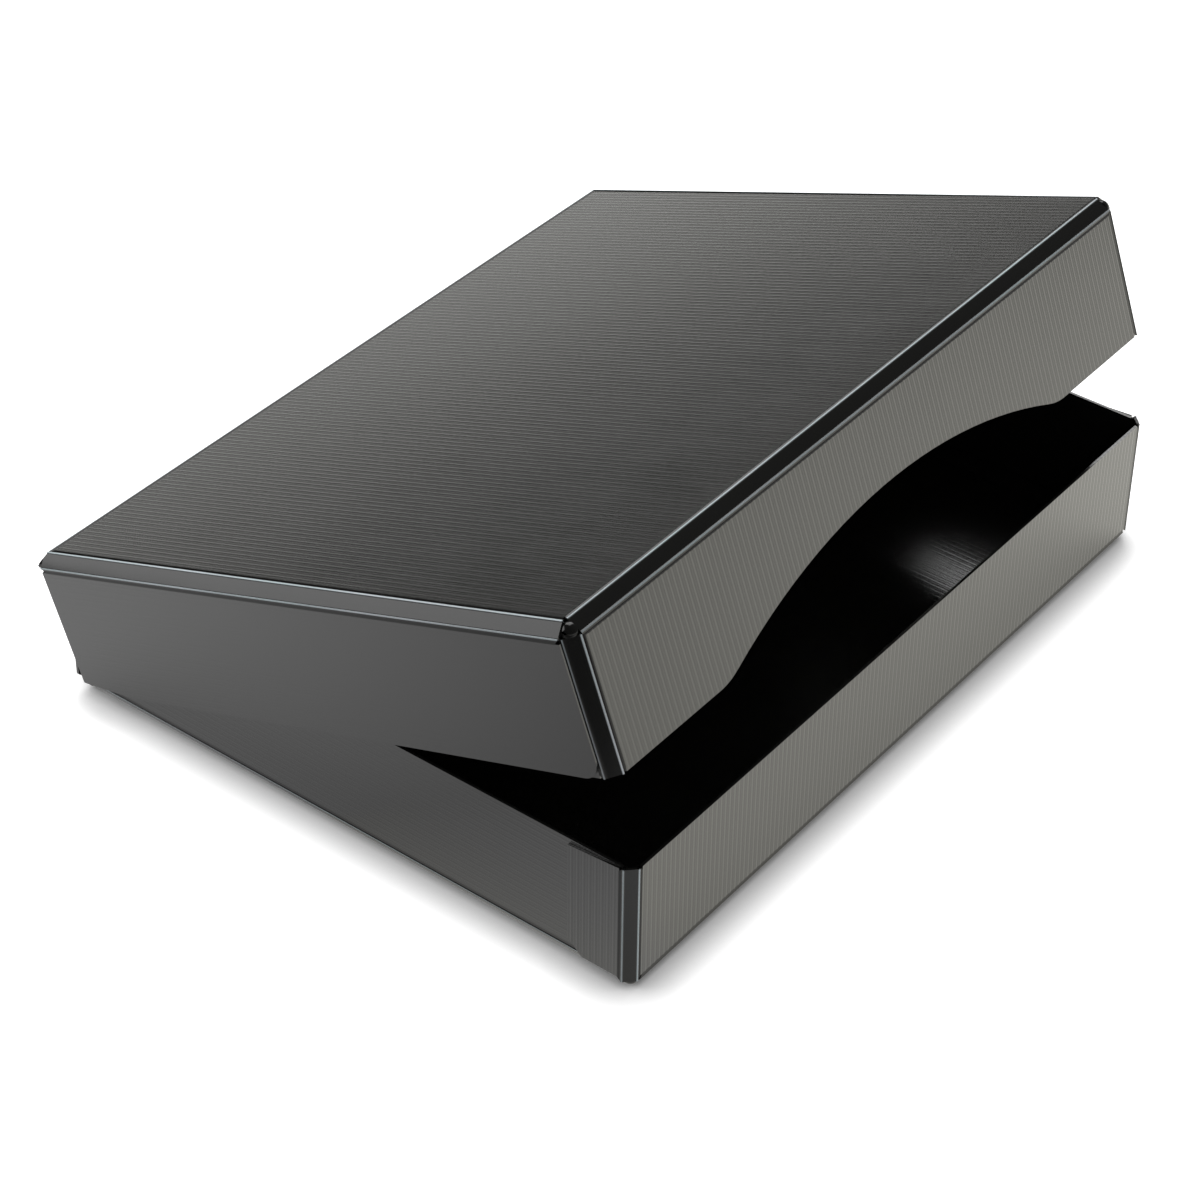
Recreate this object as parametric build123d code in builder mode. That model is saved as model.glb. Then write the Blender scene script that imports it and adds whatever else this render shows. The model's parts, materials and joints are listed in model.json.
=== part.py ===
"""Archive box folded from thin ribbed plastic sheet: a low tray, a spine and a hinged lid.

Every fold is a pair of creases with a flat strip between them, set at 45 degrees to both
faces. The sizes below are outside sizes in millimetres. The origin is the middle of the
tray's underside, X runs along the front wall, Y points back to the spine and Z points up.
The tray stands as it does on a table. The spine bends at spine_bend above the table, and
the spine and the lid stand ajar there by lid_ajar degrees.
"""
import os
from math import cos, hypot, radians, sin, sqrt, tan

from build123d import *

# Tray
tray_length = 366.0
tray_width = 290.0
tray_depth = 62.0
tray_bevel = 4.2
spine_bend = 20.0

# Lid
lid_bevel = 5.0
flap_lift = 3.0
flap_corner_radius = 8.0
flap_tail_length = 30.0
flap_tail_rise = 4.0
cutout_chord = 230.0
cutout_rise = 24.0
cutout_corner_radius = 30.0
lid_ajar = 20.0

# Sheet, tabs and clearances
sheet = 1.2
fold_lean = 22.5
front_tab_reach = 26.0
rear_tab_reach = 30.0
lid_tab_reach = 24.0
tab_drop = 2.0
tab_cut = 9.0
foot_cut = 4.0
lap_gap = 0.1
slide_gap = 0.5
seat_gap = 0.5
hinge_gap = 1.0
spine_gap = 0.5
flap_gap = 2.0

# Faces of the tray
half_length = tray_length / 2
front_face = -tray_width / 2
spine_face = tray_width / 2
side_wall_face = half_length - sheet - lap_gap
rear_tab_face = spine_face - sheet - spine_gap
floor_half = side_wall_face - tray_bevel
floor_front = front_face + tray_bevel
floor_rear = spine_face - tray_bevel
strip_depth = sheet * sqrt(2)

# Crease strips stop short of the corners, where three bevels would meet
strip_stop = sheet * tan(radians(fold_lean)) + lap_gap

# Faces of the lid. Its front flap clears the front wall all the way round the bend, and its
# bevels clear the tray's rim when it is shut
lid_tab_face = half_length + slide_gap + sheet
flap_face = lid_tab_face + lap_gap + sheet
front_gap = hypot(tray_width, tray_depth - spine_bend) - tray_width + slide_gap
lid_front_face = front_face - front_gap - sheet
lid_height = tray_depth + lid_bevel + strip_depth - (flap_face - half_length) + seat_gap
flap_top = lid_height - lid_bevel
lid_top_half = flap_face - lid_bevel
front_flap_half = lid_tab_face - lid_bevel
lid_top_front = lid_front_face + lid_bevel
lid_top_rear = spine_face - lid_bevel

opened = Pos(0, spine_face, spine_bend) * Rot(X=-lid_ajar) * Pos(0, -spine_face, -spine_bend)

# Outer faces, each a plane whose normal points into the box
floor_plane = Plane(origin=(0, 0, 0), x_dir=(1, 0, 0), z_dir=(0, 0, 1))
top_plane = Plane(origin=(0, 0, lid_height), x_dir=(1, 0, 0), z_dir=(0, 0, -1))


def front_plane(y):
    """Upright face that looks forwards; its first direction runs towards -X."""
    return Plane(origin=(0, y, 0), x_dir=(-1, 0, 0), z_dir=(0, 1, 0))


def rear_plane(y):
    """Upright face that looks backwards; its first direction runs towards +X."""
    return Plane(origin=(0, y, 0), x_dir=(1, 0, 0), z_dir=(0, -1, 0))


def left_plane(x):
    """Upright face on the left side; its first direction runs towards the spine."""
    return Plane(origin=(-x, 0, 0), x_dir=(0, 1, 0), z_dir=(1, 0, 0))


def strip_plane(lower_crease, upper_crease, along):
    """Face of a crease strip from its lower to its upper crease, given a point on each."""
    start = Vector(*lower_crease)
    across = (Vector(*upper_crease) - start).normalized()
    return Plane(origin=start, x_dir=Vector(*along), z_dir=Vector(*along).cross(across))


def swung(plane):
    """The same plane on the lid or the spine once they stand ajar."""
    return Plane(opened * plane.location)


def trim_fold(plane, side, at):
    """Lean one edge of the panel in hand so that it meets its crease strip face to face."""
    outwards = {
        "left": -plane.x_dir,
        "right": plane.x_dir,
        "low": -plane.y_dir,
        "high": plane.y_dir,
    }[side]
    corner = (at, 0, 0) if side in ("left", "right") else (0, at, 0)
    lean = radians(fold_lean)
    cut = Plane(
        origin=plane.from_local_coords(Vector(*corner)),
        z_dir=outwards * cos(lean) + plane.z_dir * sin(lean),
    )
    split(bisect_by=cut, keep=Keep.BOTTOM)


def panel(plane, left, right, low, high, folds=()):
    """A flat stretch of sheet between four edges; folds names the edges that are creased."""
    with BuildSketch(plane) as outline:
        with Locations(((left + right) / 2, (low + high) / 2)):
            Rectangle(right - left, high - low)
    extrude(outline.sketch, amount=sheet)
    edges = {"left": left, "right": right, "low": low, "high": high}
    for side in folds:
        trim_fold(plane, side, edges[side])


def tab(plane, fold, end, low, high, drop):
    """A glue tab from its crease to its end, dropped at the top, with one corner cut away."""
    with BuildSketch(plane) as outline:
        with BuildLine():
            Polyline(
                (fold, low),
                (end - tab_cut, low),
                (end, low + tab_cut),
                (end, high - drop),
                (fold, high),
                close=True,
            )
        make_face()
    extrude(outline.sketch, amount=sheet)
    trim_fold(plane, "left", fold)


def save(name, made):
    """Label a finished piece and write it to its file."""
    made.part.label = name
    export_step(made.part, f"parts/{name}.step")


os.makedirs("parts", exist_ok=True)

# Tray: floor and walls

with BuildPart() as tray_floor:
    panel(
        floor_plane,
        -floor_half,
        floor_half,
        floor_front,
        floor_rear,
        ("left", "right", "low", "high"),
    )
save("tray_floor", tray_floor)

with BuildPart() as tray_front_wall:
    panel(
        front_plane(front_face),
        -half_length + tray_bevel,
        half_length - tray_bevel,
        tray_bevel,
        tray_depth,
        ("left", "right", "low"),
    )
save("tray_front_wall", tray_front_wall)

# The side walls start behind the front corner strips
with BuildPart() as tray_left_wall:
    panel(
        left_plane(side_wall_face),
        floor_front + sheet,
        rear_tab_face - tray_bevel,
        tray_bevel,
        tray_depth,
        ("right", "low"),
    )
save("tray_left_wall", tray_left_wall)

with BuildPart() as tray_right_wall:
    mirror(tray_left_wall.part, about=Plane.YZ)
save("tray_right_wall", tray_right_wall)

# The rear wall is the foot of the spine's sheet, up to where it bends. It is as wide as the
# spine, which stands between the lid's side flaps, and its lower corners are cut away
with BuildPart() as tray_rear_wall:
    with BuildSketch(rear_plane(spine_face)):
        with Locations((0, (tray_bevel + spine_bend - hinge_gap / 2) / 2)):
            Rectangle(2 * half_length, spine_bend - hinge_gap / 2 - tray_bevel)
        chamfer(vertices().group_by(Axis.Y)[0], foot_cut)
    extrude(amount=sheet)
    trim_fold(rear_plane(spine_face), "low", tray_bevel)
save("tray_rear_wall", tray_rear_wall)

# Tray: tabs. The front ones lap outside the side walls, the rear ones stand inside the spine

with BuildPart() as tray_front_left_tab:
    tab(
        left_plane(half_length),
        floor_front,
        floor_front + front_tab_reach,
        tray_bevel,
        tray_depth,
        tab_drop,
    )
save("tray_front_left_tab", tray_front_left_tab)

with BuildPart() as tray_front_right_tab:
    mirror(tray_front_left_tab.part, about=Plane.YZ)
save("tray_front_right_tab", tray_front_right_tab)

rear_tab_fold = tray_bevel - side_wall_face
rear_tab_low = tray_bevel + sheet
rear_tab_top = tray_depth - tab_drop

with BuildPart() as tray_rear_left_tab:
    tab(
        rear_plane(rear_tab_face),
        rear_tab_fold,
        rear_tab_fold + rear_tab_reach,
        rear_tab_low,
        rear_tab_top,
        0,
    )
save("tray_rear_left_tab", tray_rear_left_tab)

with BuildPart() as tray_rear_right_tab:
    mirror(tray_rear_left_tab.part, about=Plane.YZ)
save("tray_rear_right_tab", tray_rear_right_tab)

# Tray: crease strips along the floor and up the corners

tray_strip = tray_bevel * sqrt(2)

with BuildPart() as tray_front_crease:
    panel(
        strip_plane((0, floor_front, 0), (0, front_face, tray_bevel), (-1, 0, 0)),
        strip_stop - floor_half,
        floor_half - strip_stop,
        0,
        tray_strip,
        ("low", "high"),
    )
save("tray_front_crease", tray_front_crease)

with BuildPart() as tray_rear_crease:
    panel(
        strip_plane((0, floor_rear, 0), (0, spine_face, tray_bevel), (1, 0, 0)),
        strip_stop - floor_half,
        floor_half - strip_stop,
        0,
        tray_strip,
        ("low", "high"),
    )
save("tray_rear_crease", tray_rear_crease)

with BuildPart() as tray_left_crease:
    panel(
        strip_plane((-floor_half, 0, 0), (-side_wall_face, 0, tray_bevel), (0, 1, 0)),
        floor_front + strip_stop,
        floor_rear - strip_stop,
        0,
        tray_strip,
        ("low", "high"),
    )
save("tray_left_crease", tray_left_crease)

with BuildPart() as tray_right_crease:
    mirror(tray_left_crease.part, about=Plane.YZ)
save("tray_right_crease", tray_right_crease)

with BuildPart() as tray_front_left_corner:
    panel(
        strip_plane(
            (tray_bevel - half_length, front_face, 0),
            (-half_length, floor_front, 0),
            (0, 0, -1),
        ),
        -tray_depth,
        -tray_bevel,
        0,
        tray_strip,
        ("low", "high"),
    )
save("tray_front_left_corner", tray_front_left_corner)

with BuildPart() as tray_front_right_corner:
    mirror(tray_front_left_corner.part, about=Plane.YZ)
save("tray_front_right_corner", tray_front_right_corner)

with BuildPart() as tray_rear_left_corner:
    panel(
        strip_plane(
            (-side_wall_face, rear_tab_face - tray_bevel, 0),
            (rear_tab_fold, rear_tab_face, 0),
            (0, 0, -1),
        ),
        -rear_tab_top,
        -rear_tab_low,
        0,
        tray_strip,
        ("low", "high"),
    )
save("tray_rear_left_corner", tray_rear_left_corner)

with BuildPart() as tray_rear_right_corner:
    mirror(tray_rear_left_corner.part, about=Plane.YZ)
save("tray_rear_right_corner", tray_rear_right_corner)

# Spine, from its bend to the lid's rear crease

with BuildPart() as spine:
    panel(
        swung(rear_plane(spine_face)),
        -half_length,
        half_length,
        spine_bend + hinge_gap / 2,
        flap_top - hinge_gap,
    )
save("spine", spine)

# Lid: top and flaps

with BuildPart() as lid_top:
    panel(
        swung(top_plane),
        -lid_top_half,
        lid_top_half,
        -lid_top_rear,
        -lid_top_front,
        ("left", "right", "low", "high"),
    )
save("lid_top", lid_top)

# A wide arc is cut in the front flap's edge, so that a finger reaches the tray's rim
cutout_radius = (cutout_chord**2 / 4 + cutout_rise**2) / (2 * cutout_rise)

with BuildPart() as lid_front_flap:
    front_flap_plane = swung(front_plane(lid_front_face))
    with BuildSketch(front_flap_plane):
        with Locations((0, (flap_lift + flap_top) / 2)):
            Rectangle(2 * front_flap_half, flap_top - flap_lift)
        with Locations((0, flap_lift + cutout_rise - cutout_radius)):
            Circle(cutout_radius, mode=Mode.SUBTRACT)
        cutout_ends = vertices().group_by(Axis.Y)[0].sort_by(Axis.X)[1:3]
        fillet(cutout_ends, cutout_corner_radius)
    extrude(amount=sheet)
    trim_fold(front_flap_plane, "left", -front_flap_half)
    trim_fold(front_flap_plane, "right", front_flap_half)
    trim_fold(front_flap_plane, "high", flap_top)
save("lid_front_flap", lid_front_flap)

# The side flaps reach back to the spine, and their rear lower corners are cut back
flap_front = lid_top_front + slide_gap
flap_rear = spine_face - sheet - flap_gap

with BuildPart() as lid_left_flap:
    side_flap_plane = swung(left_plane(flap_face))
    with BuildSketch(side_flap_plane):
        with BuildLine():
            Polyline(
                (flap_front, flap_lift),
                (flap_rear - flap_tail_length, flap_lift),
                (flap_rear, flap_lift + flap_tail_rise),
                (flap_rear, flap_top),
                (flap_front, flap_top),
                close=True,
            )
        make_face()
        front_foot = vertices().group_by(Axis.Y)[0].sort_by(Axis.X)[0]
        fillet(front_foot, flap_corner_radius)
    extrude(amount=sheet)
    trim_fold(side_flap_plane, "high", flap_top)
save("lid_left_flap", lid_left_flap)

with BuildPart() as lid_right_flap:
    mirror(lid_left_flap.part, about=Plane.YZ)
save("lid_right_flap", lid_right_flap)

# Lid: tabs from the front flap, just inside the side flaps

with BuildPart() as lid_left_tab:
    panel(
        swung(left_plane(lid_tab_face)),
        lid_top_front,
        lid_top_front + lid_tab_reach,
        flap_lift,
        flap_top - sheet,
        ("left",),
    )
save("lid_left_tab", lid_left_tab)

with BuildPart() as lid_right_tab:
    mirror(lid_left_tab.part, about=Plane.YZ)
save("lid_right_tab", lid_right_tab)

# Lid: crease strips round the top and down the front corners

lid_strip = lid_bevel * sqrt(2)

with BuildPart() as lid_front_crease:
    panel(
        swung(
            strip_plane(
                (0, lid_front_face, flap_top),
                (0, lid_top_front, lid_height),
                (-1, 0, 0),
            )
        ),
        strip_stop - front_flap_half,
        front_flap_half - strip_stop,
        0,
        lid_strip,
        ("low", "high"),
    )
save("lid_front_crease", lid_front_crease)

with BuildPart() as lid_rear_crease:
    panel(
        swung(strip_plane((0, spine_face, flap_top), (0, lid_top_rear, lid_height), (1, 0, 0))),
        strip_stop - lid_top_half,
        lid_top_half - strip_stop,
        0,
        lid_strip,
        ("low", "high"),
    )
save("lid_rear_crease", lid_rear_crease)

with BuildPart() as lid_left_crease:
    panel(
        swung(
            strip_plane(
                (-flap_face, 0, flap_top),
                (-lid_top_half, 0, lid_height),
                (0, 1, 0),
            )
        ),
        lid_top_front + strip_stop,
        lid_top_rear - strip_stop,
        0,
        lid_strip,
        ("low", "high"),
    )
save("lid_left_crease", lid_left_crease)

with BuildPart() as lid_right_crease:
    mirror(lid_left_crease.part, about=Plane.YZ)
save("lid_right_crease", lid_right_crease)

with BuildPart() as lid_front_left_corner:
    panel(
        swung(
            strip_plane(
                (-front_flap_half, lid_front_face, 0),
                (-lid_tab_face, lid_top_front, 0),
                (0, 0, -1),
            )
        ),
        -flap_top,
        -flap_lift,
        0,
        lid_strip,
        ("low", "high"),
    )
save("lid_front_left_corner", lid_front_left_corner)

with BuildPart() as lid_front_right_corner:
    mirror(lid_front_left_corner.part, about=Plane.YZ)
save("lid_front_right_corner", lid_front_right_corner)
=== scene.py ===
"""Archive box folded from ribbed black plastic sheet: its looks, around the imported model.

Run as a script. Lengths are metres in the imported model's frame: X along the front wall, Y back
to the spine, Z up. The lid's pieces are modelled shut, square to the axes, and then tilted by
the angle at which the lid stands ajar.
"""
import json
from contextlib import contextmanager
from math import acos, ceil, cos, floor, pi, radians, sin

import bpy
from bpy.props import FloatProperty, FloatVectorProperty, PointerProperty
from mathutils import Matrix, Vector


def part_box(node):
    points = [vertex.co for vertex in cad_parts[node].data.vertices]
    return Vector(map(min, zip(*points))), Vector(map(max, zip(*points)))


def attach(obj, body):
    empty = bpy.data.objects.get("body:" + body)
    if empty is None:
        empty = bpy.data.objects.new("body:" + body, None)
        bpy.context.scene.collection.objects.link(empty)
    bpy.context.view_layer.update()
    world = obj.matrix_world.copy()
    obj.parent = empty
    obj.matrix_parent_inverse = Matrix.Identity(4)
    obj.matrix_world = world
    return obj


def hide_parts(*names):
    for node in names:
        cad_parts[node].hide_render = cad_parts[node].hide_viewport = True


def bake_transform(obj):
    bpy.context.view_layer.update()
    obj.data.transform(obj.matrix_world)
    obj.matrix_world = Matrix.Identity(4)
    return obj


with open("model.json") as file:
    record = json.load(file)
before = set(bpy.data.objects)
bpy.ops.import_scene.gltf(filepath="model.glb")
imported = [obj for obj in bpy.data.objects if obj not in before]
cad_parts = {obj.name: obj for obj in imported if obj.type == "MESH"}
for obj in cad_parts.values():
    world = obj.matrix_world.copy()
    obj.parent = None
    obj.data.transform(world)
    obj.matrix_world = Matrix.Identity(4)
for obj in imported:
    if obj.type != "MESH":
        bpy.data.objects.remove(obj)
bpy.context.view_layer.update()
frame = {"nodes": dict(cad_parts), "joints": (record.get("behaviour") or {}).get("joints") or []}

bl_info = {
    "name": "Ribbed archive box",
    "version": (1, 0, 0),
    "blender": (4, 5, 0),
    "location": "View3D > Sidebar > Archive Box",
    "description": "Models the ribbed sheet, rolled creases and bent spine of a clamshell archive box",
    "category": "Object",
}

MM = 0.001
X = Vector((1, 0, 0))
Y = Vector((0, 1, 0))
Z = Vector((0, 0, 1))
AXES = (X, Y, Z)

# Sizes that the folded sheet shares
SHEET = 1.2 * MM
TRAY_BEVEL = 4.2 * MM
LID_BEVEL = 5.0 * MM
SIDE_CREASE = 6.5 * MM
FOOT_CUT = 4.0 * MM
BEVEL_TURN = radians(45)
EDGE_GAP = 0.02 * MM

# Crease strips: how far they stop short of a corner, and how far they swell between their beads
STRIP_STOP = 0.6 * MM
STRIP_BULGE = 0.08 * MM
FOOT_BULGE = 0.45 * MM
HINGE_STOP = 1.5 * MM

# Rolled beads: how far the lip laps the panel, where the groove beside a bead begins and is
# deepest, a crease pressed in instead of out, a low bead as a share of the full rise, the points
# of a bead's profile, and how strongly and how narrowly the painted highlight on its crest spreads
LIP_OVERLAP = 0.2 * MM
GROOVE_EDGE = 1.3 * MM
GROOVE_MIDDLE = 0.95 * MM
PRESSED_IN = -0.06 * MM
LOW_BEAD = 0.2
BEAD_STEPS = 12
CREST_GAIN = 1.5
CREST_NARROWING = 1.45

# Ribs: points along one pitch, and their height on each face as a share of the full height
RIB_STEPS = 12
FRONT_RELIEF = 1.6
FRONT_TAB_RELIEF = 3.0
LID_TOP_RELIEF = 0.65
SIDE_FLAP_RELIEF = 0.6

# The spine's sheet turns between these heights, given on the shut box, and the hinge above it
# turns within its reach. The last points of the hinge's bead would lie under the lid's rear strip
TURN_START = 11 * MM
TURN_END = 40 * MM
SPINE_ROWS = 30
HIDDEN_POINTS = 2

# Corner caps as a share of their bevel, the angle up to which faces shade as one, and how near
# points have to be to count as one when they are merged or cut
CAP_SHARE = 0.8
SMOOTH_ANGLE = radians(38)
MERGE_REACH = 0.01 * MM
CUT_THRESHOLD = 0.001 * MM

# How the drawn lines of the plastic are stretched along each axis
LINE_STRETCH = {"lengthways": (1, 0.02, 1), "upright": (1, 1, 0.02), "sideways": (0.02, 1, 1)}

# Light: white, the warmth of the room in front of the box, and how bright the room is
WHITE = (1, 1, 1, 1)
WARM_FLOOR = (1, 0.985, 0.9, 1)
WARM_ROOM = (1, 1, 0.96, 1)
ROOM_LEVEL = 0.35
FLOOR_SIZE = 9

# The floor as the box mirrors it: painted pools of light on a dim floor, a painted wash far behind the
# box and a painted glow, then the camera's glow and the reach of the painted contact shadow
FRONT_POOL = (0.75, -0.65, 0)
REAR_POOL = (-0.1, 0.55, 0)
BOX_MIDDLE = (0, 0, 0)
AWAY_FROM_CAMERA = (0.7, 0.7, 0)
BEHIND_BOX = (0.5, 0.9)
LEFT_OF_BOX = (-0.22, -0.14)
DIM = 0.04
MIRRORED_GLOW = 0.58
DIRECT_GLOW = 0.85
CONTACT_SHADE_REACH = 16 * MM

# The backdrop as the lid mirrors it: bright at the horizon, and brighter toward the right
BACKDROP_TOP = 0.14
BACKDROP_DARK = 0.03
TOWARD_RIGHT = (1, -1, 0)
FACING_LEVEL = 1.15
RIGHT_GAIN = 1.4

# The spine's bend, from the frame's own joints
JOINTS = {joint["name"]: joint for joint in frame["joints"]}
BEND = Vector(JOINTS["spine_fold"]["pos_m"])
AJAR = radians(-JOINTS["spine_fold"]["range_deg"][0])


def tilt(angle):
    """The turn that opens the spine and lid by an angle about the spine's bend."""
    return Matrix.Translation(BEND) @ Matrix.Rotation(-angle, 4, "X") @ Matrix.Translation(-BEND)


OPENED = tilt(AJAR)
SHUT = tilt(-AJAR)


def shut_box(node):
    """Lowest and highest corner of a lid or spine node with the lid shut."""
    corners = [SHUT @ v.co for v in frame["nodes"][node].data.vertices]
    low = Vector(min(c[i] for c in corners) for i in range(3))
    high = Vector(max(c[i] for c in corners) for i in range(3))
    return low, high


# Outer faces of the tray and of the shut lid
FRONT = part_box("tray_front_wall")[0].y
REAR = BEND.y
TRAY_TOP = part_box("tray_front_wall")[1].z
TAB_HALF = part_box("tray_front_right_tab")[1].x
WALL_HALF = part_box("tray_right_wall")[1].x
REAR_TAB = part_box("tray_rear_right_tab")[1].y
REAR_TAB_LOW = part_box("tray_rear_right_tab")[0].z
REAR_TAB_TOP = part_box("tray_rear_right_tab")[1].z
LID_FRONT = shut_box("lid_front_flap")[0].y
LID_TOP = shut_box("lid_top")[1].z
FLAP_LOW = shut_box("lid_front_flap")[0].z
FLAP_HALF = shut_box("lid_right_flap")[1].x
LID_TAB_HALF = shut_box("lid_right_tab")[1].x
FLAP_TOP = LID_TOP - LID_BEVEL
FLAP_REAR = shut_box("lid_right_flap")[1].y
SPINE_HALF = shut_box("spine")[1].x


class BoxFinish(bpy.types.PropertyGroup):
    """Sizes and colours of the ribbed sheet and its creases."""

    rib_pitch: FloatProperty(
        name="Rib pitch",
        description="Distance from one main rib to the next",
        default=2.85 * MM,
        unit="LENGTH",
    )
    rib_height: FloatProperty(
        name="Main rib height",
        description="How far the main ribs rise above the mean face",
        default=0.009 * MM,
        precision=5,
        unit="LENGTH",
    )
    fine_rib_height: FloatProperty(
        name="Fine rib height",
        description="How far the ribs at half the pitch rise above the mean face",
        default=0.010 * MM,
        precision=5,
        unit="LENGTH",
    )
    bead_radius: FloatProperty(
        name="Crease bead radius",
        description="Radius of the rolled bead along each crease",
        default=0.6 * MM,
        precision=5,
        unit="LENGTH",
    )
    bead_rise: FloatProperty(
        name="Crease bead rise",
        description="How far a rolled bead stands out from its fold",
        default=0.22 * MM,
        precision=5,
        unit="LENGTH",
    )
    lip: FloatProperty(
        name="Pressed lip",
        description="Width of the smooth margin beside a crease, where the ribs are pressed flat",
        default=2.0 * MM,
        precision=5,
        unit="LENGTH",
    )
    groove: FloatProperty(
        name="Groove depth",
        description="Depth of the groove that the crease rule leaves beside a bead",
        default=0.2 * MM,
        precision=5,
        unit="LENGTH",
    )
    sheet_colour: FloatVectorProperty(
        name="Sheet colour",
        description="Colour of the black plastic",
        default=(0.010, 0.010, 0.0095),
        size=3,
        subtype="COLOR",
    )
    # Painted highlight on the crease crests: mostly the bright room mirrored in the rolled beads,
    # partly the whitening of the stretched plastic
    crest_highlight_colour: FloatVectorProperty(
        name="Crease colour",
        description="Colour of the stretched plastic on the crest of a crease",
        default=(0.68, 0.92, 0.92),
        size=3,
        subtype="COLOR",
    )
    crest_highlight_tint: FloatVectorProperty(
        name="Crease tint",
        description="Colour that the crests drift to along their length",
        default=(0.9, 0.86, 0.95),
        size=3,
        subtype="COLOR",
    )
    sheet_roughness: FloatProperty(
        name="Sheet roughness",
        description="Mean roughness of the ribbed faces",
        default=0.22,
        subtype="FACTOR",
    )
    strip_roughness: FloatProperty(
        name="Strip roughness",
        description="Mean roughness of the smooth strips and beads",
        default=0.16,
        subtype="FACTOR",
    )


class StudioStage(bpy.types.PropertyGroup):
    """Camera and floor."""

    lens: FloatProperty(
        name="Lens",
        description="Focal length on a 36 mm sensor, in millimetres",
        default=96.99,
    )
    camera_place: FloatVectorProperty(
        name="Camera place",
        description="Where the camera stands",
        default=(-0.8724, -0.6567, 0.8691),
        size=3,
        subtype="TRANSLATION",
    )
    camera_heading: FloatProperty(
        name="Camera heading",
        description="Turn of the camera about the upright axis, from looking along +Y",
        default=radians(-52.56),
        subtype="ANGLE",
    )
    camera_dip: FloatProperty(
        name="Camera dip",
        description="How far the camera looks down",
        default=radians(38.37),
        subtype="ANGLE",
    )
    camera_roll: FloatProperty(
        name="Camera roll",
        description="Lean of the camera about its own line of sight",
        default=radians(0.58),
        subtype="ANGLE",
    )
    floor_white: FloatProperty(
        name="Floor white",
        description="Reflectance of the floor",
        default=0.86,
        subtype="FACTOR",
    )


def finish():
    """The finish that the sidebar panel shows."""
    return bpy.context.scene.box_finish


class Wire:
    """A socket in a node tree that takes part in sums like a number."""

    def __init__(self, tree, socket=None):
        self.tree = tree
        self.socket = socket

    def add(self, kind, inputs=None, output=0, **settings):
        """Add a node: its settings first, then the values or links of its inputs."""
        node = self.tree.nodes.new(kind)
        for key, value in settings.items():
            setattr(node, key, value)
        for key, value in (inputs or {}).items():
            if isinstance(value, Wire):
                self.tree.links.new(value.socket, node.inputs[key])
            else:
                node.inputs[key].default_value = value
        return Wire(self.tree, node.outputs[output])

    def maths(self, operation, first, second):
        return self.add("ShaderNodeMath", {0: first, 1: second}, operation=operation)

    def blend(self, share, first, second):
        """A colour that goes from the first to the second as share goes from 0 to 1."""
        sockets = {"Factor": share, 6: first, 7: second}
        return self.add("ShaderNodeMix", sockets, output=2, data_type="RGBA")

    def ramp(self, value, reach, levels=(0, 1), shape="LINEAR"):
        """A level that goes from the first to the second as value crosses its reach."""
        sockets = {
            "Value": value,
            "From Min": reach[0],
            "From Max": reach[1],
            "To Min": levels[0],
            "To Max": levels[1],
        }
        return self.add("ShaderNodeMapRange", sockets, interpolation_type=shape)

    def reach_along(self, place, way):
        """How far a place lies along a direction."""
        sockets = {0: place, 1: way}
        return self.add("ShaderNodeVectorMath", sockets, output=1, operation="DOT_PRODUCT")

    def tinted(self, colour, level):
        """A colour times a level."""
        sockets = {0: colour, "Scale": level}
        return self.add("ShaderNodeVectorMath", sockets, operation="SCALE")

    def __add__(self, other):
        return self.maths("ADD", self, other)

    def __radd__(self, other):
        return self.maths("ADD", other, self)

    def __sub__(self, other):
        return self.maths("SUBTRACT", self, other)

    def __rsub__(self, other):
        return self.maths("SUBTRACT", other, self)

    def __mul__(self, other):
        return self.maths("MULTIPLY", self, other)

    def __rmul__(self, other):
        return self.maths("MULTIPLY", other, self)


def new_material(name):
    """An empty Principled material, its first wire and its shader node."""
    material = bpy.data.materials.new(name)
    material.use_nodes = True
    tree = material.node_tree
    shader = tree.nodes["Principled BSDF"]
    return material, Wire(tree), shader


def join(wire, shader, name):
    """Link a wire to a socket of the shader."""
    wire.tree.links.new(wire.socket, shader.inputs[name])


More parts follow.
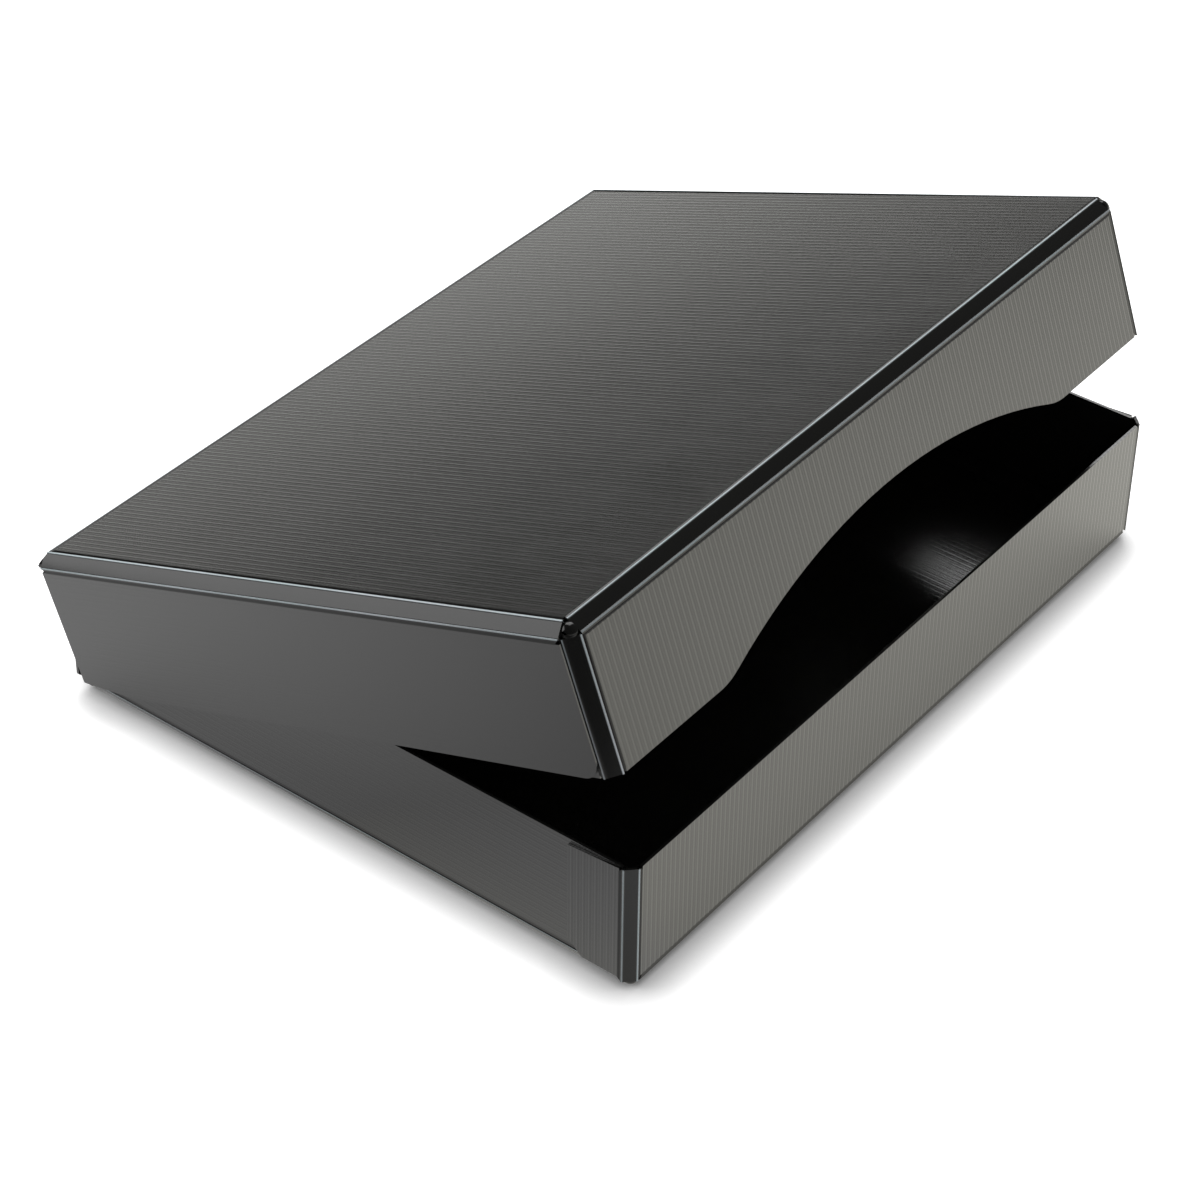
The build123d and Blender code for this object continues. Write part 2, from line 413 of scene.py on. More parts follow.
def plastic(name, stretch, turn, roughness, crest):
    """Black plastic with drawn lines along one direction.

    stretch scales the pattern along each axis and turn is the tilt of the piece that wears it.
    crest says whether the piece has creases, whose crests are painted paler as a highlight, with a
    little whitening of the stretched plastic. A piece without them is ribbed, and its coat is thickest
    on the ribs.
    """
    material, start, shader = new_material(name)
    look = finish()
    place = start.add("ShaderNodeTexCoord", output="Object")
    along = start.add(
        "ShaderNodeMapping",
        {"Vector": place, "Rotation": (turn, 0, 0), "Scale": stretch},
    )
    lines = start.add("ShaderNodeTexNoise", {"Vector": along, "Scale": 450, "Detail": 2})
    bands = start.add("ShaderNodeTexNoise", {"Vector": along, "Scale": 110, "Detail": 2})
    cloud = start.add("ShaderNodeTexNoise", {"Vector": place, "Scale": 14, "Detail": 3})
    shade = 0.75 + 0.3 * cloud + 0.2 * bands
    dark = start.tinted(tuple(look.sheet_colour), shade)
    if crest:
        # Painted highlight on the crease crests, mostly standing for the bright room mirrored in the
        # rolled beads, partly the whitening of the stretched plastic
        raised = start.add("ShaderNodeAttribute", output="Fac", attribute_name="crest")
        painted_crest_highlight = raised * (0.55 + 0.6 * cloud)
        drift = start.add("ShaderNodeTexNoise", {"Vector": place, "Scale": 9, "Detail": 1})
        tint = start.blend(drift, (*look.crest_highlight_colour, 1), (*look.crest_highlight_tint, 1))
        dark = start.blend(painted_crest_highlight, dark, tint)
    join(dark, shader, "Base Color")
    join(roughness - 0.06 + 0.07 * cloud + 0.06 * bands, shader, "Roughness")
    if not crest:
        across = start.add("ShaderNodeSeparateXYZ", {0: place})
        phase = across * (2 * pi / look.rib_pitch)
        ridge = start.add("ShaderNodeMath", {0: phase}, operation="COSINE")
        join(0.8 + 0.2 * ridge, shader, "Coat Weight")
    relief = 0.4 * lines + 0.6 * bands
    bump = start.add(
        "ShaderNodeBump",
        {"Strength": 0.2, "Distance": 0.03 * MM, "Height": relief},
    )
    join(bump, shader, "Normal")
    shader.inputs["IOR"].default_value = 1.5
    shader.inputs["Specular IOR Level"].default_value = 0.5 if crest else 1.0
    shader.inputs["Coat Roughness"].default_value = 0.12
    return material


def materials():
    """The box's plastic, one material for each direction of the drawn lines."""
    if "sheet_lengthways" in bpy.data.materials:
        return bpy.data.materials
    look = finish()
    for prefix, turn in (("", 0), ("lid_", AJAR)):
        for lay, stretch in LINE_STRETCH.items():
            if lay != "sideways":
                plastic(f"{prefix}sheet_{lay}", stretch, turn, look.sheet_roughness, False)
            plastic(f"{prefix}strip_{lay}", stretch, turn, look.strip_roughness, True)
    return bpy.data.materials


def pick(piece):
    """Make one object the only selected and active one."""
    bpy.ops.object.select_all(action="DESELECT")
    piece.select_set(True)
    bpy.context.view_layer.objects.active = piece


@contextmanager
def editing(piece):
    """Edit mode on one object, with all of its mesh selected."""
    pick(piece)
    bpy.ops.object.mode_set(mode="EDIT")
    bpy.ops.mesh.select_all(action="SELECT")
    yield
    bpy.ops.object.mode_set(mode="OBJECT")


def drawn(name, points, crests=None):
    """A line drawn from point to point, ready to be pulled out into a face."""
    bpy.ops.object.select_all(action="DESELECT")
    bpy.ops.mesh.primitive_plane_add(size=SHEET, location=points[0])
    piece = bpy.context.object
    piece.name = name
    bpy.ops.object.transform_apply(location=True)
    with editing(piece):
        bpy.ops.mesh.merge(type="CENTER")
        for here, there in zip(points, points[1:]):
            bpy.ops.mesh.extrude_region_move(TRANSFORM_OT_translate={"value": there - here})
    if crests:
        # The crest attribute holds the strength of the painted highlight on a crease
        crest = piece.data.attributes.new("crest", "FLOAT", "POINT")
        for vertex in piece.data.vertices:
            nearest = min(range(len(points)), key=lambda i: (points[i] - vertex.co).length)
            crest.data[vertex.index].value = crests[nearest]
    return piece


def repeat(piece, step, count):
    """Copy a drawn rib side by side and join the copies into one line."""
    row = piece.modifiers.new("row", "ARRAY")
    row.count = count
    row.use_relative_offset = False
    row.use_constant_offset = True
    row.constant_offset_displace = step
    row.use_merge_vertices = True
    row.merge_threshold = MERGE_REACH
    pick(piece)
    bpy.ops.object.modifier_apply(modifier=row.name)


def pull_out(piece, step, count=1):
    """Extrude the drawn line by equal steps into a sheet."""
    with editing(piece):
        for _ in range(count):
            bpy.ops.mesh.extrude_region_move(TRANSFORM_OT_translate={"value": step})


def thicken(piece, outward):
    """Give a sheet its thickness, inwards from the face that points outward."""
    pick(piece)
    total = Vector()
    for face in piece.data.polygons:
        total += face.normal * face.area
    if total.dot(outward) < 0:
        with editing(piece):
            bpy.ops.mesh.flip_normals()
    wall = piece.modifiers.new("wall", "SOLIDIFY")
    wall.thickness = SHEET
    wall.offset = -1
    bpy.ops.object.modifier_apply(modifier=wall.name)


def slice_off(piece, point, keep):
    """Cut a piece by a plane and keep the side that keep points to."""
    with editing(piece):
        bpy.ops.mesh.bisect(plane_co=point, plane_no=keep, clear_inner=True, threshold=CUT_THRESHOLD)


def settle(piece, body, material, slot, *nodes, opened=False):
    """Tilt a finished piece with the open lid, shade it and tie it to its body."""
    pick(piece)
    if opened:
        with editing(piece):
            bpy.ops.transform.rotate(value=AJAR, orient_axis="X", center_override=BEND)
    bpy.ops.object.shade_smooth_by_angle(angle=SMOOTH_ANGLE)
    piece.data.materials.clear()
    piece.data.materials.append(materials()[material])
    if nodes:
        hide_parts(*nodes)
    if body:
        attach(piece, body)


def rib_relief(distance, share):
    """Height of the ribbed face at a distance across the ribs, as a share of the full relief."""
    look = finish()
    phase = 2 * pi * distance / look.rib_pitch
    return share * (look.rib_height * cos(phase) + look.fine_rib_height * cos(2 * phase))


def ribbed(name, low, high, outward, across, along, steps=1, edges=(), relief=1.0):
    """A ribbed sheet that fills a box's extents, with its face on the box's outward side.

    across and along are axis numbers, and the ribs run along. Where an outline's edges are
    given, each rib stops at the outline.
    """
    pitch = finish().rib_pitch
    first = floor(low[across] / pitch)
    count = ceil(high[across] / pitch) - first
    face = high if outward.dot(high - low) > 0 else low
    thin = 3 - across - along
    points = []
    for i in range(RIB_STEPS + 1):
        distance = pitch * (first + i / RIB_STEPS)
        point = outward * rib_relief(distance, relief)
        point[thin] += face[thin]
        point[across] = distance
        point[along] = low[along]
        points.append(point)
    piece = drawn(name, points)
    repeat(piece, AXES[across] * pitch, count)
    pull_out(piece, AXES[along] * (high[along] - low[along]) / steps, steps)
    slice_off(piece, low, AXES[across])
    slice_off(piece, high, -AXES[across])
    if edges:
        middle = (low[along] + high[along]) / 2
        for vertex in piece.data.vertices:
            first, last = rib_span(edges, vertex.co[across], across, along)
            if vertex.co[along] < middle:
                vertex.co[along] = max(first, low[along])
            else:
                vertex.co[along] = min(last, high[along])
    thicken(piece, outward)
    return piece


def outline_edges(node, lid):
    """The edges of a node's mesh, with the lid shut."""
    mesh = frame["nodes"][node].data
    turn = SHUT if lid else Matrix()
    corners = [turn @ v.co for v in mesh.vertices]
    return [(corners[a], corners[b]) for a, b in mesh.edge_keys]


def rib_span(edges, distance, across, along):
    """Where the rib at a distance across the ribs enters and leaves the outline."""
    hits = []
    for a, b in edges:
        run = b[across] - a[across]
        share = (distance - a[across]) / run if abs(run) > MERGE_REACH else -1
        if 0 <= share <= 1:
            hits.append(a[along] + (b[along] - a[along]) * share)
    return min(hits), max(hits)


def panel(node, outward, rib_axis, folds, body, trimmed=False, relief=1.0, raised=0.0):
    """Dress one flat panel in ribbed sheet, short of its folds by the pressed lip.

    folds names the sides that end at a crease, such as "x-" for the one toward -X. raised lifts
    the lower edge of a panel whose lower crease lies above the solid's.
    """
    lid = body == "lid"
    low, high = shut_box(node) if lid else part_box(node)
    thin = max(range(3), key=lambda i: abs(outward[i]))
    across = 3 - thin - rib_axis
    lip = finish().lip
    for i in (across, rib_axis):
        low[i] += lip if f"{'xyz'[i]}-" in folds else EDGE_GAP
        high[i] -= lip if f"{'xyz'[i]}+" in folds else EDGE_GAP
    low.z += raised
    edges = outline_edges(node, lid) if trimmed else ()
    name = node + "_sheet"
    piece = ribbed(name, low, high, outward, across, rib_axis, edges=edges, relief=relief)
    lay = "lengthways" if rib_axis == 1 else "upright"
    prefix = "lid_" if lid else ""
    settle(piece, body, f"{prefix}sheet_{lay}", "ribbed_sheet", node, opened=lid)


def bead(crease, panel_way, panel_out, strip_way, strip_out, rise, lipped=True):
    """Profile of one crease from the panel's lip to the strip's edge, with crest values that give the
    strength of the painted highlight.
    """
    look = finish()
    radius = look.bead_radius
    depth = radius - rise
    middle = (panel_out + strip_out).normalized()
    over = (strip_way - panel_way).normalized()
    half_turn = BEVEL_TURN / 2
    reach = half_turn + acos(min(1, depth * cos(half_turn) / radius))
    points, crests = [], []
    if lipped:
        groove = look.groove * min(1, max(rise, 0) / look.bead_rise)
        lip_edge = look.lip + LIP_OVERLAP
        for distance, sink in ((lip_edge, 0), (GROOVE_EDGE, 0), (GROOVE_MIDDLE, groove)):
            points.append(crease + panel_way * distance - panel_out * sink)
            crests.append(0.0)
    for i in range(BEAD_STEPS + 1):
        angle = reach * (2 * i / BEAD_STEPS - 1)
        points.append(crease + middle * (radius * cos(angle) - depth) + over * radius * sin(angle))
        ridge = min(1, CREST_GAIN * max(0, 1 - CREST_NARROWING * abs(angle) / reach))
        crests.append(ridge * max(0, rise) / look.bead_rise)
    return points, crests


def strip(
    name,
    along,
    ends,
    low_crease,
    low_way,
    high_crease,
    high_way,
    rises,
    low_lip=True,
    low_ends=None,
    bulge=STRIP_BULGE,
):
    """A crease strip with a rolled bead along each edge and a pressed lip beyond each bead.

    along is the direction of the creases, each way points from its crease into the panel beyond
    it, and rises are the beads' heights. Where low_ends are given, the lower crease runs on past
    the ends of the upper one and the strip is mitred between them.
    """
    centre = Vector((0, 0, TRAY_TOP / 2))
    run = (high_crease - low_crease).normalized()
    out = run.cross(along)
    if out.dot((low_crease + high_crease) / 2 - centre) < 0:
        out = -out
    first = ends[0] + STRIP_STOP
    last = ends[1] - STRIP_STOP
    if low_ends:
        first = min(first, low_ends[0])
        last = max(last, low_ends[1])
    profile, crests = [], []
    for crease, way, strip_way, rise, lipped in (
        (low_crease, low_way, run, rises[0], low_lip),
        (high_crease, high_way, -run, rises[1], True),
    ):
        panel_out = way.cross(along)
        if panel_out.dot(out) < 0:
            panel_out = -panel_out
        points, values = bead(crease, way, panel_out, strip_way, out, rise, lipped)
        if crease is high_crease:
            points.reverse()
            values.reverse()
            edge = profile[-1]
            for share in (0.2, 0.4, 0.6, 0.8):
                swell = 4 * bulge * share * (1 - share)
                profile.append(edge.lerp(points[0], share) + out * swell)
                crests.append(0.0)
        profile += points
        crests += values
    piece = drawn(name, [point + along * first for point in profile], crests)
    pull_out(piece, along * (last - first))
    low_reach = low_ends or ends
    for crease, way, reach in ((low_crease, low_way, low_reach), (high_crease, high_way, ends)):
        slice_off(piece, crease + along * reach[0], (along - way).normalized())
        slice_off(piece, crease + along * reach[1], (-along - way).normalized())
    thicken(piece, out)
    return piece


def crease_strip(node, lay, *profile, **options):
    """Model the crease strip that stands for a node, and settle it on its body."""
    piece = strip(node + "_strip", *profile, **options)
    if node.startswith("lid"):
        settle(piece, "lid", f"lid_strip_{lay}", "creased_strip", node, opened=True)
    else:
        settle(piece, "tray", f"strip_{lay}", "creased_strip", node)


def at(x, y, z):
    """A point in the box's frame."""
    return Vector((x, y, z))


class BOX_OT_tray_panels(bpy.types.Operator):
    """Dress the tray's floor and walls in ribbed sheet"""

    bl_idname = "archive_box.tray_panels"
    bl_label = "Tray panels"

    def execute(self, context):
        panel("tray_floor", -Z, 1, ("x-", "x+", "y-", "y+"), "tray")
        panel("tray_front_wall", -Y, 2, ("x-", "x+", "z-"), "tray", relief=FRONT_RELIEF)
        raised = SIDE_CREASE - TRAY_BEVEL
        panel("tray_left_wall", -X, 1, ("z-", "y+"), "tray", raised=raised)
        panel("tray_right_wall", X, 1, ("z-", "y+"), "tray", raised=raised)
        return {"FINISHED"}


class BOX_OT_tray_tabs(bpy.types.Operator):
    """Dress the tray's four tabs in ribbed sheet"""

    bl_idname = "archive_box.tray_tabs"
    bl_label = "Tray tabs"

    def execute(self, context):
        for side, word in ((-1, "left"), (1, "right")):
            node = f"tray_front_{word}_tab"
            panel(
                node,
                side * X,
                2,
                ("y-",),
                "tray",
                trimmed=True,
                relief=FRONT_TAB_RELIEF,
                raised=SIDE_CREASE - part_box(node)[0].z,
            )
        panel("tray_rear_left_tab", Y, 2, ("x-",), "tray", trimmed=True)
        panel("tray_rear_right_tab", Y, 2, ("x+",), "tray", trimmed=True)
        return {"FINISHED"}


class BOX_OT_tray_creases(bpy.types.Operator):
    """Roll the creases round the tray's floor and up its corners"""

    bl_idname = "archive_box.tray_creases"
    bl_label = "Tray creases"

    def execute(self, context):
        rise = finish().bead_rise
        floor_half = WALL_HALF - TRAY_BEVEL
        floor_front = FRONT + TRAY_BEVEL
        floor_rear = REAR - TRAY_BEVEL
        for node, y_floor, y_wall, inwards in (
            ("tray_front_crease", floor_front, FRONT, Y),
            ("tray_rear_crease", floor_rear, REAR, -Y),
        ):
            crease_strip(
                node,
                "sideways",
                X,
                (-floor_half, floor_half),
                at(0, y_floor, 0),
                inwards,
                at(0, y_wall, TRAY_BEVEL),
                Z,
                (PRESSED_IN, 0),
            )
        for side, word in ((-1, "left"), (1, "right")):
            crease_strip(
                f"tray_{word}_crease",
                "lengthways",
                Y,
                (floor_front, floor_rear),
                at(side * floor_half, 0, 0),
                -side * X,
                at(side * WALL_HALF, 0, SIDE_CREASE),
                Z,
                (PRESSED_IN, 0.6 * rise),
                bulge=FOOT_BULGE,
            )
            crease_strip(
                f"tray_front_{word}_corner",
                "upright",
                Z,
                (TRAY_BEVEL, TRAY_TOP + STRIP_STOP),
                at(side * (TAB_HALF - TRAY_BEVEL), FRONT, 0),
                -side * X,
                at(side * TAB_HALF, floor_front, 0),
                Y,
                (rise if side < 0 else LOW_BEAD * rise, 0.6 * rise),
            )
            crease_strip(
                f"tray_rear_{word}_corner",
                "upright",
                Z,
                (REAR_TAB_LOW, REAR_TAB_TOP + STRIP_STOP),
                at(side * WALL_HALF, REAR_TAB - TRAY_BEVEL, 0),
                -Y,
                at(side * (WALL_HALF - TRAY_BEVEL), REAR_TAB, 0),
                -side * X,
                (0, 0),
            )
        return {"FINISHED"}


class BOX_OT_spine_sheet(bpy.types.Operator):
    """Model the spine and the rear wall as one sheet that bends in the middle"""

    bl_idname = "archive_box.spine_sheet"
    bl_label = "Spine sheet"

    def execute(self, context):
        low = Vector((-SPINE_HALF, REAR - SHEET, TRAY_BEVEL + finish().lip))
        high = Vector((SPINE_HALF, REAR, FLAP_TOP - finish().lip))
        piece = ribbed("spine_sheet", low, high, Y, 0, 2, steps=SPINE_ROWS)
        for side in (-1, 1):
            corner = Vector((side * SPINE_HALF, REAR, TRAY_BEVEL + FOOT_CUT))
            slice_off(piece, corner, (Z - side * X).normalized())
        start = Vector((0, REAR, TURN_START))
        end = OPENED @ Vector((0, REAR, TURN_END))
        bend_between(piece, start, end)
        settle(piece, None, "sheet_upright", "ribbed_sheet", "tray_rear_wall", "spine")
        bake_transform(piece)
        return {"FINISHED"}


def bend_between(piece, start, end):
    """Open a shut piece so that it turns smoothly from start to end, and is straight when shut.

    How far a point turns depends on where it ends up, so each place is found by repeating the
    turn until it settles. Points at one height and depth share a place.
    """
    way = end - start
    solved = {}
    for vertex in piece.data.vertices:
        shut = Vector((0, vertex.co.y, vertex.co.z))
        key = round(shut.y, 7), round(shut.z, 7)
        if key not in solved:
            place = shut.copy()
            for _ in range(12):
                share = min(1, max(0, (place - start).dot(way) / way.length_squared))
                place = tilt(AJAR * share * share * (3 - 2 * share)) @ shut
            solved[key] = place.yz
        vertex.co.yz = solved[key]


class BOX_OT_lid_panels(bpy.types.Operator):
    """Dress the lid's top, flaps and tabs in ribbed sheet"""

    bl_idname = "archive_box.lid_panels"
    bl_label = "Lid panels"

    def execute(self, context):
        panel("lid_top", Z, 1, ("x-", "x+", "y-", "y+"), "lid", relief=LID_TOP_RELIEF)
        folds = ("x-", "x+", "z+")
        panel("lid_front_flap", -Y, 2, folds, "lid", trimmed=True, relief=FRONT_RELIEF)
        for side, word in ((-1, "left"), (1, "right")):
            flap = f"lid_{word}_flap"
            panel(flap, side * X, 1, ("z+",), "lid", trimmed=True, relief=SIDE_FLAP_RELIEF)
            panel(f"lid_{word}_tab", side * X, 2, ("y-",), "lid")
        return {"FINISHED"}


class BOX_OT_lid_creases(bpy.types.Operator):
    """Roll the creases round the lid's top and down its front corners"""

    bl_idname = "archive_box.lid_creases"
    bl_label = "Lid creases"

    def execute(self, context):
        rise = finish().bead_rise
        top_half = FLAP_HALF - LID_BEVEL
        front_half = LID_TAB_HALF - LID_BEVEL
        top_front = LID_FRONT + LID_BEVEL
        top_rear = REAR - LID_BEVEL
        crease_strip(
            "lid_front_crease",
            "sideways",
            X,
            (-front_half, front_half),
            at(0, LID_FRONT, FLAP_TOP),
            -Z,
            at(0, top_front, LID_TOP),
            Y,
            (0.6 * rise, 0.8 * rise),
        )
        crease_strip(
            "lid_rear_crease",
            "sideways",
            X,
            (-top_half, top_half),
            at(0, REAR, FLAP_TOP),
            -Z,
            at(0, top_rear, LID_TOP),
            -Y,
            (rise, rise),
            low_lip=False,
            low_ends=(HINGE_STOP - FLAP_HALF, FLAP_HALF - HINGE_STOP),
        )
        for side, word in ((-1, "left"), (1, "right")):
            crease_strip(
                f"lid_{word}_crease",
                "lengthways",
                Y,
                (top_front, top_rear),
                at(side * FLAP_HALF, 0, FLAP_TOP),
                -Z,
                at(side * top_half, 0, LID_TOP),
                -side * X,
                (0.6 * rise, 0.9 * rise),
                low_ends=(top_front + STRIP_STOP, FLAP_REAR),
            )
            crease_strip(
                f"lid_front_{word}_corner",
                "upright",
                Z,
                (FLAP_LOW - STRIP_STOP, FLAP_TOP),
                at(side * front_half, LID_FRONT, 0),
                -side * X,
                at(side * LID_TAB_HALF, top_front, 0),
                Y,
                (rise if side < 0 else LOW_BEAD * rise, 0.45 * rise),
            )
        return {"FINISHED"}


class BOX_OT_pressed_corners(bpy.types.Operator):
    """Close the corners where three crease strips meet"""

    bl_idname = "archive_box.pressed_corners"
    bl_label = "Pressed corners"

    def execute(self, context):
        lid_corner = at(LID_TAB_HALF - LID_BEVEL, LID_FRONT + LID_BEVEL, FLAP_TOP)
        front_corner = at(WALL_HALF - TRAY_BEVEL, FRONT + TRAY_BEVEL, TRAY_BEVEL)
        rear_corner = at(WALL_HALF - TRAY_BEVEL, REAR - TRAY_BEVEL, TRAY_BEVEL)
        for side, word in ((-1, "left"), (1, "right")):
            for body, end, corner, bevel, ways in (
                ("lid", "front", lid_corner, LID_BEVEL, (-Y, Z)),
                ("tray", "front", front_corner, TRAY_BEVEL, (-Y, -Z)),
                ("tray", "rear", rear_corner, TRAY_BEVEL, (Y, -Z)),
            ):
                name = f"{body}_{end}_{word}_corner_cap"
                centre = at(side * corner.x, corner.y, corner.z)
                piece = corner_ball(name, centre, CAP_SHARE * bevel, (side * X, *ways))
                lid = body == "lid"
                material = "lid_strip_lengthways" if lid else "strip_lengthways"
                settle(piece, body, material, "creased_strip", opened=lid)
        return {"FINISHED"}


def corner_ball(name, centre, radius, ways):
    """The eighth of a hollow ball that lies on the given sides of its centre."""
    bpy.ops.object.select_all(action="DESELECT")
    bpy.ops.mesh.primitive_uv_sphere_add(segments=64, ring_count=32, radius=radius, location=centre)
    piece = bpy.context.object
    piece.name = name
    bpy.ops.object.transform_apply(location=True)
    for way in ways:
        slice_off(piece, centre - way * STRIP_STOP, way)
    thicken(piece, sum(ways, Vector()))
    return piece


class BOX_OT_lid_hinge(bpy.types.Operator):
    """Model the living hinge between the spine and the lid's rear strip"""

    bl_idname = "archive_box.lid_hinge"
    bl_label = "Lid hinge"

    def execute(self, context):
        crease = at(0, REAR, FLAP_TOP)
        lean = (Z - Y).normalized()
        lean_out = (Z + Y).normalized()
        points, crests = bead(crease, -Z, Y, lean, lean_out, finish().bead_rise)
        start = -X * SPINE_HALF
        line = [point + start for point in points[:-HIDDEN_POINTS]]
        piece = drawn("lid_hinge", line, crests[:-HIDDEN_POINTS])
        pull_out(piece, X * 2 * SPINE_HALF)
        thicken(piece, Y)
        settle(piece, None, "lid_strip_sideways", "creased_strip", opened=True)
        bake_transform(piece)
        return {"FINISHED"}


class BOX_OT_studio(bpy.types.Operator):
    """Set the pale floor, the soft lamps and the camera"""

    bl_idname = "archive_box.studio"
    bl_label = "Studio"

    def execute(self, context):
        set_floor()
        set_world()
        soft_lamp(
            "top_softbox",
            place=(0.85, 0.79, 1.2),
            target=(0.85, 0.79, 0),
            size=(1.7, 1.5),
            radiance=2.6,
        )
        soft_lamp(
            "left_softbox",
            place=(-0.9, 1.25, 0.75),
            target=(-0.15, 0.1, 0.1),
            size=(1.2, 0.9),
            radiance=2.4,
        )
        set_camera()
        bpy.context.scene.view_settings.view_transform = "Standard"
        return {"FINISHED"}


def set_floor():
    """A pale floor that stays white to the camera and keeps the box's shadow, with a painted contact
    shadow close to the box where ambient occlusion dims the camera's glow.
    """
    bpy.ops.object.select_all(action="DESELECT")
    bpy.ops.mesh.primitive_plane_add(size=FLOOR_SIZE, location=BOX_MIDDLE)
    ground = bpy.context.object
    ground.name = "floor"
    material, start, shader = new_material("floor_white")
    white = bpy.context.scene.studio_stage.floor_white
    shader.inputs["Roughness"].default_value = 0.9
    place = start.add("ShaderNodeTexCoord", output=3)
    # Painted pools of light: the floor's colour as glossy rays see it, placed so that the box's faces
    # mirror a lit studio
    front_pool = light_pool(start, place, FRONT_POOL, (0.0, 0.95), (1.0, 0.8))
    front_edge = light_pool(start, place, FRONT_POOL, (1.0, 1.3), (1.0, DIM))
    rear_pool = light_pool(start, place, REAR_POOL, (0.35, 0.95), (0.56, DIM))
    far_wash = light_pool(start, place, BOX_MIDDLE, (0.9, 1.4), (DIM, 1.0))
    beyond = start.ramp(start.reach_along(place, AWAY_FROM_CAMERA), BEHIND_BOX)
    across = start.add("ShaderNodeSeparateXYZ", {0: place})
    hue = start.blend(start.ramp(across, LEFT_OF_BOX), WHITE, WARM_FLOOR)
    warm = start.tinted(hue, front_pool * front_edge)
    plain = start.tinted(WHITE[:3], start.maths("MAXIMUM", rear_pool, far_wash * beyond))
    pool = start.add("ShaderNodeVectorMath", {0: warm, 1: plain}, operation="MAXIMUM")
    direct = start.add("ShaderNodeLightPath", output="Is Camera Ray")
    mirrored = start.add("ShaderNodeLightPath", output="Is Glossy Ray")
    seen = start.blend(mirrored, WHITE, pool)
    # Painted contact shadow: ambient occlusion dims the glow that keeps the floor white to the camera,
    # close to the box
    open_sky = start.add("ShaderNodeAmbientOcclusion", {"Distance": CONTACT_SHADE_REACH}, output="AO")
    painted_contact_shade = open_sky * open_sky
    # The floor glows to the camera to stay white, and glows in the box's faces as painted light
    # standing for the bright studio
    strength = DIRECT_GLOW * direct * painted_contact_shade + MIRRORED_GLOW * mirrored
    glow = start.add("ShaderNodeEmission", {"Color": seen, "Strength": strength})
    join(start.tinted(seen, white), shader, "Base Color")
    tree = material.node_tree
    lit = Wire(tree, shader.outputs[0])
    both = start.add("ShaderNodeAddShader", {0: lit, 1: glow})
    looked_at = start.maths("MAXIMUM", direct, mirrored)
    mixed = start.add("ShaderNodeMixShader", {0: looked_at, 1: lit, 2: both})
    tree.links.new(mixed.socket, tree.nodes["Material Output"].inputs["Surface"])
    ground.data.materials.append(material)


def light_pool(start, place, centre, radii, levels):
    """How brightly the floor is seen in the box's faces, from an inner to an outer radius."""
    away = start.add("ShaderNodeVectorMath", {0: place, 1: centre}, output=1, operation="DISTANCE")
    return start.ramp(away, radii, levels, shape="SMOOTHSTEP")


def set_world():
    """A dim room with a bright backdrop low behind the box, all white where the camera sees it."""
    world = bpy.data.worlds.new("room")
    bpy.context.scene.world = world
    world.use_nodes = True
    tree = world.node_tree
    start = Wire(tree)
    direct = start.add("ShaderNodeLightPath", output="Is Camera Ray")
    mirrored = start.add("ShaderNodeLightPath", output="Is Glossy Ray")
    way = start.add("ShaderNodeTexCoord", output="Generated")
    height = start.add("ShaderNodeSeparateXYZ", {0: way}, output=2)
    to_right = start.reach_along(way, TOWARD_RIGHT)
    heights = (0.0, BACKDROP_TOP)
    backdrop = start.ramp(height, heights, (1.0, BACKDROP_DARK), shape="SMOOTHSTEP")
    reflected = start.maths("MINIMUM", 1, backdrop * (FACING_LEVEL + RIGHT_GAIN * to_right))
    strength = ROOM_LEVEL + (1 - ROOM_LEVEL) * direct + mirrored * (reflected - ROOM_LEVEL)
    tree.links.new(strength.socket, tree.nodes["Background"].inputs["Strength"])
    seen = start.blend(mirrored, WHITE, WARM_ROOM)
    tree.links.new(seen.socket, tree.nodes["Background"].inputs["Color"])


def soft_lamp(name, place, target, size, radiance):
    """A rectangular lamp that faces its target, with its brightness given as seen."""
    bpy.ops.object.light_add(type="AREA", location=place)
    lamp = bpy.context.object
    lamp.name = name
    lamp.data.shape = "RECTANGLE"
    lamp.data.size, lamp.data.size_y = size
    lamp.data.energy = radiance * pi * size[0] * size[1]
    way = Vector(target) - Vector(place)
    lamp.rotation_euler = way.to_track_quat("-Z", "Y").to_euler()


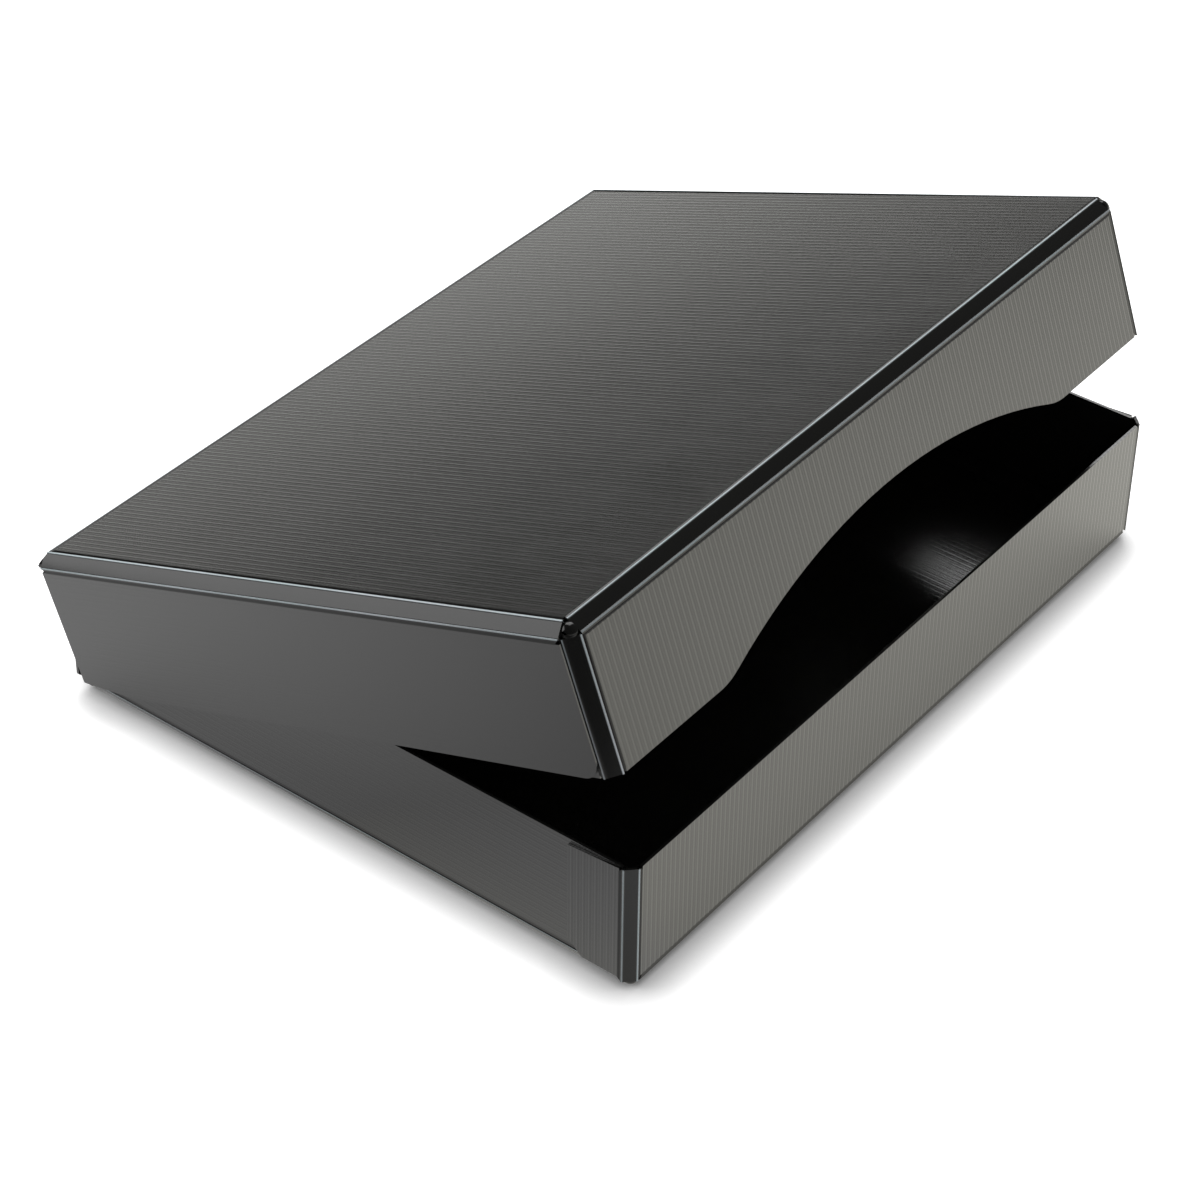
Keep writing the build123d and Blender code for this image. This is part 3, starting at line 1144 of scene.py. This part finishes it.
def set_camera():
    """The camera of the photograph."""
    stage = bpy.context.scene.studio_stage
    bpy.ops.object.camera_add(location=stage.camera_place)
    camera = bpy.context.object
    heading = Matrix.Rotation(stage.camera_heading, 4, "Z")
    dip = Matrix.Rotation(pi / 2 - stage.camera_dip, 4, "X")
    roll = Matrix.Rotation(stage.camera_roll, 4, "Z")
    camera.rotation_euler = (heading @ dip @ roll).to_euler()
    camera.data.sensor_width = 36
    camera.data.lens = stage.lens
    bpy.context.scene.camera = camera


class BOX_PT_sidebar(bpy.types.Panel):
    """Sidebar panel with the box's finish and its operators"""

    bl_label = "Archive Box"
    bl_idname = "BOX_PT_sidebar"
    bl_space_type = "VIEW_3D"
    bl_region_type = "UI"
    bl_category = "Archive Box"

    def draw(self, context):
        for group in (context.scene.box_finish, context.scene.studio_stage):
            for name in group.bl_rna.properties.keys():
                if name not in ("rna_type", "name"):
                    self.layout.prop(group, name)
        for operator in OPERATORS:
            self.layout.operator(operator.bl_idname)


OPERATORS = (
    BOX_OT_studio,
    BOX_OT_tray_panels,
    BOX_OT_tray_tabs,
    BOX_OT_tray_creases,
    BOX_OT_spine_sheet,
    BOX_OT_lid_panels,
    BOX_OT_lid_creases,
    BOX_OT_pressed_corners,
    BOX_OT_lid_hinge,
)
CLASSES = (BoxFinish, StudioStage, *OPERATORS, BOX_PT_sidebar)


def register():
    for item in CLASSES:
        bpy.utils.register_class(item)
    bpy.types.Scene.box_finish = PointerProperty(type=BoxFinish)
    bpy.types.Scene.studio_stage = PointerProperty(type=StudioStage)


def unregister():
    del bpy.types.Scene.studio_stage
    del bpy.types.Scene.box_finish
    for item in reversed(CLASSES):
        bpy.utils.unregister_class(item)


def main():
    """Build every piece in order."""
    register()
    bpy.ops.object.select_all(action="DESELECT")
    bpy.ops.archive_box.studio()
    bpy.ops.archive_box.tray_panels()
    bpy.ops.archive_box.tray_tabs()
    bpy.ops.archive_box.tray_creases()
    bpy.ops.archive_box.spine_sheet()
    bpy.ops.archive_box.lid_panels()
    bpy.ops.archive_box.lid_creases()
    bpy.ops.archive_box.pressed_corners()
    bpy.ops.archive_box.lid_hinge()


if __name__ == "__main__":
    main()
